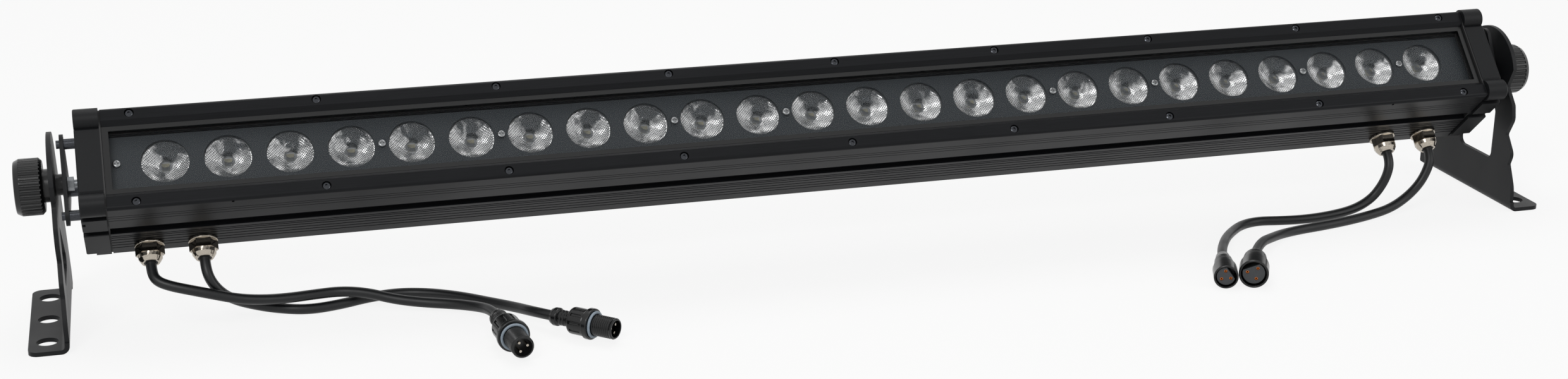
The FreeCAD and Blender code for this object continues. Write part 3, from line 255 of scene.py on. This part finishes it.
def mirror_with_painted_reflection():
    """The parabolic side of an acrylic lens, which reflects all light inside: a silver cup with a
    painted reflection in its colour.

    The colour is a painted reflection that follows the angle round each lens: base + lobes cos(2
    angle + turn) - low sin(angle) + a soft noise of painted streaks, from nearly black to white,
    lighter towards the bottom of each cup.
    """
    # shares of the painted reflection: light lobes, light towards the bottom, and light and dark
    # streaks
    base, painted_lobe_share, painted_lobe_turn, painted_light_below_share, painted_streak_share = 0.3, 0.2, 0.6, 0.16, 0.8
    ramp_start, ramp_end = 0.47, 0.84
    material, tree, principled, place = new_material(
        "mirror_with_painted_reflection", Metallic=1.0, Roughness=0.14)
    face = add(tree, "ShaderNodeMapping", {"Vector": place}, {"Rotation": (TILT, 0, 0)})
    axes = add(tree, "ShaderNodeSeparateXYZ", {"Vector": face.outputs["Vector"]})
    # x from the middle of the nearest lens: the row is cut into squares of one pitch
    to_own_lens = [("ADD", LENS_COUNT / 2 * LENS_PITCH * MM), ("MODULO", LENS_PITCH * MM),
                   ("SUBTRACT", LENS_PITCH / 2 * MM)]
    across = axes.outputs["X"]
    for operation, number in to_own_lens:
        across = add(tree, "ShaderNodeMath", {0: across}, {1: number},
                     operation=operation).outputs[0]
    rise = add(tree, "ShaderNodeMath", {0: axes.outputs["Z"]}, {1: LENS_AXIS_RISE},
               operation="SUBTRACT").outputs[0]
    angle = add(tree, "ShaderNodeMath", {0: rise, 1: across}, operation="ARCTAN2").outputs[0]
    # painted reflection: two light lobes round each cup
    doubled = add(tree, "ShaderNodeMath", {0: angle}, {1: 2.0, 2: painted_lobe_turn},
                  operation="MULTIPLY_ADD").outputs[0]
    painted_lobes = add(tree, "ShaderNodeMath", {0: doubled}, operation="COSINE").outputs[0]
    # painted light: the tone lightens towards the bottom of each cup
    painted_light_below = add(tree, "ShaderNodeMath", {0: angle}, operation="SINE").outputs[0]
    # painted reflection: noise streaks of light and dark in the cup's colour
    painted_streaks = add(tree, "ShaderNodeTexNoise", {"Vector": place},
                 {"Scale": 150.0, "Detail": 1.5, "Roughness": 0.45, "Distortion": 0.8})
    total = add(tree, "ShaderNodeMath", {0: painted_lobes}, {1: painted_lobe_share, 2: base},
                operation="MULTIPLY_ADD").outputs[0]
    total = add(tree, "ShaderNodeMath", {0: painted_light_below, 2: total}, {1: -painted_light_below_share},
                operation="MULTIPLY_ADD").outputs[0]
    total = add(tree, "ShaderNodeMath", {0: painted_streaks.outputs["Fac"], 2: total}, {1: painted_streak_share},
                operation="MULTIPLY_ADD").outputs[0]
    # the painted reflection as a colour, from nearly black to white
    tone = add(tree, "ShaderNodeValToRGB", {"Fac": total})
    darkest, lightest = tone.color_ramp.elements
    darkest.position, lightest.position = ramp_start, ramp_end
    darkest.color, lightest.color = srgb("#14171a"), srgb("#ffffff")
    tree.links.new(tone.outputs["Color"], principled.inputs["Base Color"])
    bump = add(tree, "ShaderNodeBump", {"Height": facets(tree, place)},
               {"Strength": 0.8, "Distance": CUP_FACETS})
    tree.links.new(bump.outputs["Normal"], principled.inputs["Normal"])
    return material


clear_glass = tempered_glass()
faceted_acrylic = acrylic_face()
# silver lens cups whose colour holds a painted reflection
silver_cup_painted_reflection = mirror_with_painted_reflection()

FINISHES = {
    "anodised_profile": extruded_anodised_aluminium,
    "cast_cap": powder_coated_casting,
    "powder_coated_sheet": powder_coated_steel,
    "black_moulding": moulded_nylon,
    "lens_plate_black": textured_abs_plate,
    "clear_lens": faceted_acrylic,
    "front_glass": clear_glass,
    "nickel_plate": nickel_plated_brass,
    "zinc_steel": zinc_plated_steel,
    "stainless_screw": stainless_steel,
    "black_screw": black_oxide_steel,
    "brass_washer": tarnished_brass,
    "cable_jacket": pvc_jacket,
    "black_rubber": epdm_rubber,
    "pale_seal": pale_silicone,
    "grey_insert": grey_nylon,
    "copper_contact": bronze_contact,
    "circuit_board": green_solder_mask,
    "led_board": white_solder_mask,
    "led": led_phosphor,
    "driver_case": plain_aluminium,
}


def dress(piece, finish):
    """Gives every material slot of a piece that finish."""
    if not piece.data.materials:
        piece.data.materials.append(finish)
    for slot in piece.material_slots:
        slot.material = finish


for entry in frame["record"]["subparts"]:
    dress(nodes[entry["node"]], FINISHES[entry["material_slot"]])

# ---------------------------------------------------------------- cables

CABLE_RADIUS = 3.5 * MM
# the bar frame, in mm: the glands' depth, and how far their nuts stand out of the profile's side
GLAND_DEPTH = 57.5
PROFILE_HALF_HEIGHT = 36.7
GLAND_REACH = 13.8
GLAND_END = -PROFILE_HALF_HEIGHT - GLAND_REACH
# straight out of the nut for this far
LEAD = 7.6


def bar_point(x, depth, rise):
    """Bar frame, in mm, to the row frame: leaned back by the tilt about the pivot."""
    back, above = depth - PIVOT_DEPTH, rise - PIVOT_RISE
    y = PIVOT_Y + back * math.cos(TILT) + above * math.sin(TILT)
    z = PIVOT_Z - back * math.sin(TILT) + above * math.cos(TILT)
    return np.stack(np.broadcast_arrays(x, y, z), axis=-1) * MM


# name: gland's x, real length, connector's own height, and the route's points in millimetres, as
# x from the gland, y and z; a z of None is the connector's own height
ROUTES = {
    "plug_large": (-475.0, 0.2701, 11.0, (
        (3, -44.5, 37), (11, -47.5, 34), (23, -50, 31), (37.5, -51.5, 27),
        (53.5, -50, 21.5), (69.5, -44, 17), (86, -36.5, 13.7), (104, -31, 12.5),
        (122, -29.5, 12.5), (139, -36, 12), (156, -45.5, 9), (175, -50.5, 6.5),
        (196, -59.5, 6.5), (211, -76, 9), (216.1, -90.1, None), (217.5, -101, None),
    )),
    "plug_small": (-440.5, 0.2873, 10.5, (
        (2.5, -43, 33), (8.5, -43.5, 24.5), (17, -39, 17), (28.5, -33.5, 10.5),
        (44, -32, 5.5), (64.5, -35.5, 3.5), (86.5, -31, 3.5), (106.5, -22.5, 3.5),
        (127.5, -19.5, 3.5), (147.5, -25.5, 3.5), (167.5, -38, 3.5), (185.5, -56, 4),
        (198.5, -73.5, 6), (209, -98.2, None), (219, -108, None),
    )),
    "socket_small": (437.0, 0.2407, 8.6, (
        (-2, -41.5, 32), (-6, -40.5, 21.5), (-13.5, -40, 12), (-28, -42, 6),
        (-48, -44.5, 3.8), (-71, -47, 3.5), (-91, -45, 3.5), (-109, -41, 3.5),
        (-125, -46, 3.5), (-140, -60, 4), (-154, -78, 6), (-170.9, -106.1, None),
        (-176.7, -120, None),
    )),
    "socket_large": (472.0, 0.2374, 10.4, (
        (-3, -41.5, 32.5), (-9, -42.5, 22), (-20, -44, 12.5), (-36, -48, 6),
        (-57, -53, 3.8), (-81, -59.5, 3.5), (-102, -64, 3.5), (-123, -67.5, 3.5),
        (-142, -75, 4.5), (-157.5, -87.5, 7), (-169.6, -98.2, 9.2), (-184.7, -117.9, None),
        (-189, -125.8, None),
    )),
}


def cable(name, gland_x, length, height, points):
    """A smooth NURBS line out of the gland, along the route, with the cable's round section."""
    start = bar_point(gland_x, GLAND_DEPTH, GLAND_END)
    lead = bar_point(gland_x, GLAND_DEPTH, GLAND_END - LEAD)
    rest = [((gland_x + x) * MM, y * MM, (height if z is None else z) * MM)
            for x, y, z in points]
    line = np.array([start, lead, *rest])
    curve = bpy.data.curves.new("jacket_" + name, "CURVE")
    curve.dimensions = "3D"
    curve.bevel_depth = CABLE_RADIUS
    curve.bevel_resolution = 7
    curve.resolution_u = 10
    curve.use_fill_caps = True
    spline = curve.splines.new("NURBS")
    spline.points.add(len(line) - 1)
    spline.points.foreach_set("co", np.column_stack([line, np.ones(len(line))]).ravel())
    spline.order_u = 3
    spline.use_endpoint_u = True
    piece = bpy.data.objects.new("jacket_" + name, curve)
    scene.collection.objects.link(piece)
    curve.materials.append(pvc_jacket)
    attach(piece, "light_bar")
    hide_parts("cable_" + name)


for route_name, route in ROUTES.items():
    cable(route_name, *route)

# ---------------------------------------------------------------- lenses

LENS_X = (np.arange(LENS_COUNT) - (LENS_COUNT - 1) / 2) * LENS_PITCH
AROUND = 56
WELD = 1e-6
SMOOTH_UP_TO = math.radians(35)


def revolved(name, profile, closed, finish):
    """Turns a profile round each lens axis: x = centre + r cos a, rise = r sin a, at its depth.

    profile is (radius, depth) in mm. A closed one joins its last point to its first. Points that
    meet on the axis are welded.
    """
    radius, depth = np.array(profile, float).T
    turn = np.linspace(0, 2 * np.pi, AROUND, endpoint=False)
    x = LENS_X[:, None, None] + radius[:, None] * np.cos(turn)
    rise = np.broadcast_to(radius[:, None] * np.sin(turn), x.shape)
    far = np.broadcast_to(depth[:, None], x.shape)
    vertices = bar_point(x, far, rise).reshape(-1, 3)
    rows = len(radius)
    first = np.arange(rows if closed else rows - 1)[:, None]
    step = np.arange(AROUND)
    here = first * AROUND + step
    beside = first * AROUND + (step + 1) % AROUND
    above = (first + 1) % rows * AROUND
    quads = np.stack([here, beside, above + (step + 1) % AROUND, above + step], axis=-1)
    each = quads.reshape(-1, 4)
    faces = (np.arange(LENS_COUNT)[:, None, None] * rows * AROUND + each).reshape(-1, 4)
    mesh = bpy.data.meshes.new(name)
    mesh.from_pydata(vertices.tolist(), [], faces.tolist())
    welded = bmesh.new()
    welded.from_mesh(mesh)
    bmesh.ops.remove_doubles(welded, verts=welded.verts, dist=WELD)
    bmesh.ops.recalc_face_normals(welded, faces=welded.faces)
    welded.to_mesh(mesh)
    welded.free()
    mesh.shade_smooth()
    mesh.set_sharp_from_angle(angle=SMOOTH_UP_TO)
    piece = bpy.data.objects.new(name, mesh)
    scene.collection.objects.link(piece)
    mesh.materials.append(finish)
    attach(piece, "light_bar")
    return piece


# depths and radii in mm
CUP_FRONT, CUP_BACK = 12.95, 18.7
CUP_MOUTH, CUP_THROAT, CUP_WALL = 14.8, 4.3, 0.25
CUP_CURVE = 0.62
share = np.linspace(0, 1, 16)
# near a paraboloid: the radius grows with a power of the height above the throat
inside_radius = CUP_THROAT + (CUP_MOUTH - CUP_THROAT) * share ** CUP_CURVE
inside_depth = CUP_BACK + (CUP_FRONT - CUP_BACK) * share
cup = [*zip(inside_radius, inside_depth), *zip(inside_radius[::-1] + CUP_WALL, inside_depth[::-1])]
revolved("lens_cups", cup, True, silver_cup_painted_reflection)

# from the middle out: a small dome at the foot of a well, the well's wall, the broad front face,
# the rim under the lens plate, and back along the inside to the axis
DOME_RADIUS, DOME_HEIGHT, WELL_FOOT = 2.9, 1.5, 15.9
FACE_FRONT, FACE_BACK, RIM_RADIUS = 12.0, 12.9, 16.3
sweep = np.linspace(0, math.pi / 2, 7)
dome = list(zip(DOME_RADIUS * np.sin(sweep), WELL_FOOT - DOME_HEIGHT * np.cos(sweep)))
face = [
    *dome, (3.3, WELL_FOOT), (3.7, 12.2), (4.0, FACE_FRONT), (14.4, FACE_FRONT), (14.9, 12.15),
    (RIM_RADIUS, 12.3), (RIM_RADIUS, FACE_BACK), (4.6, FACE_BACK), (4.3, 16.6), (0, 16.6),
]
lens_faces = revolved("lens_faces", face, False, faceted_acrylic)
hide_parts("lenses")

# ---------------------------------------------------------------- floor, lamps and world

FLOOR_HALF = 40.0
# a hair under the feet, so that the two surfaces don't meet
FLOOR_DROP = 0.2 * MM
floor_mesh = bpy.data.meshes.new("floor")
floor_mesh.from_pydata(
    [(-FLOOR_HALF, -FLOOR_HALF, 0), (FLOOR_HALF, -FLOOR_HALF, 0),
     (FLOOR_HALF, FLOOR_HALF, 0), (-FLOOR_HALF, FLOOR_HALF, 0)], [], [(0, 1, 2, 3)])
floor = bpy.data.objects.new("floor", floor_mesh)
floor.location.z = -FLOOR_DROP
scene.collection.objects.link(floor)


def seen_directly(tree):
    """1 for rays from the camera, a reflection or a clear piece, 0 for rays that light things."""
    rays = add(tree, "ShaderNodeLightPath")
    seen = rays.outputs["Is Camera Ray"]
    for kind in ("Is Glossy Ray", "Is Transmission Ray"):
        seen = add(tree, "ShaderNodeMath", {0: seen, 1: rays.outputs[kind]},
                   operation="MAXIMUM").outputs[0]
    return seen


# the share of the floor's look that is plain white, and the world's strength as a light
FLOOR_GLOW = 0.86
WORLD_LIGHT = 0.4
paper = bpy.data.materials.new("white_paper")
paper.use_nodes = True
paper_tree = paper.node_tree
paper_tree.nodes.clear()
matt = add(paper_tree, "ShaderNodeBsdfDiffuse", values={"Color": srgb("#e9e9e8")})
glow = add(paper_tree, "ShaderNodeEmission", values={"Color": (1, 1, 1, 1), "Strength": 1.0})
amount = add(paper_tree, "ShaderNodeMath", {0: seen_directly(paper_tree)}, {1: FLOOR_GLOW},
             operation="MULTIPLY")
mixed = add(paper_tree, "ShaderNodeMixShader",
            {0: amount.outputs[0], 1: matt.outputs[0], 2: glow.outputs[0]})
add(paper_tree, "ShaderNodeOutputMaterial", {"Surface": mixed.outputs[0]})
floor_mesh.materials.append(paper)

world = bpy.data.worlds.new("studio")
scene.world = world
world.use_nodes = True
world_tree = world.node_tree
world_tree.nodes.clear()
strength = add(world_tree, "ShaderNodeMapRange", {"Value": seen_directly(world_tree)},
               {"To Min": WORLD_LIGHT, "To Max": 1.0})
backdrop = add(world_tree, "ShaderNodeBackground", {"Strength": strength.outputs["Result"]},
               {"Color": (1, 1, 1, 1)})
add(world_tree, "ShaderNodeOutputWorld", {"Surface": backdrop.outputs[0]})


def lamp(name, spot, size, watts):
    """A square soft box at spot, facing the lamp's middle, near the floor."""
    light = bpy.data.lights.new(name, "AREA")
    light.size = size
    light.energy = watts
    piece = bpy.data.objects.new(name, light)
    aim = (Vector(LIT_SPOT) - Vector(spot)).to_track_quat("-Z", "Y")
    piece.matrix_world = Matrix.Translation(spot) @ aim.to_matrix().to_4x4()
    scene.collection.objects.link(piece)


LIT_SPOT = (0, 0, 0.05)
lamp("key", spot=(-1.3, -1.9, 1.9), size=1.0, watts=26)
lamp("fill", spot=(1.9, -1.6, 1.1), size=1.4, watts=10)
lamp("top", spot=(0.1, 0.6, 2.0), size=1.2, watts=14)
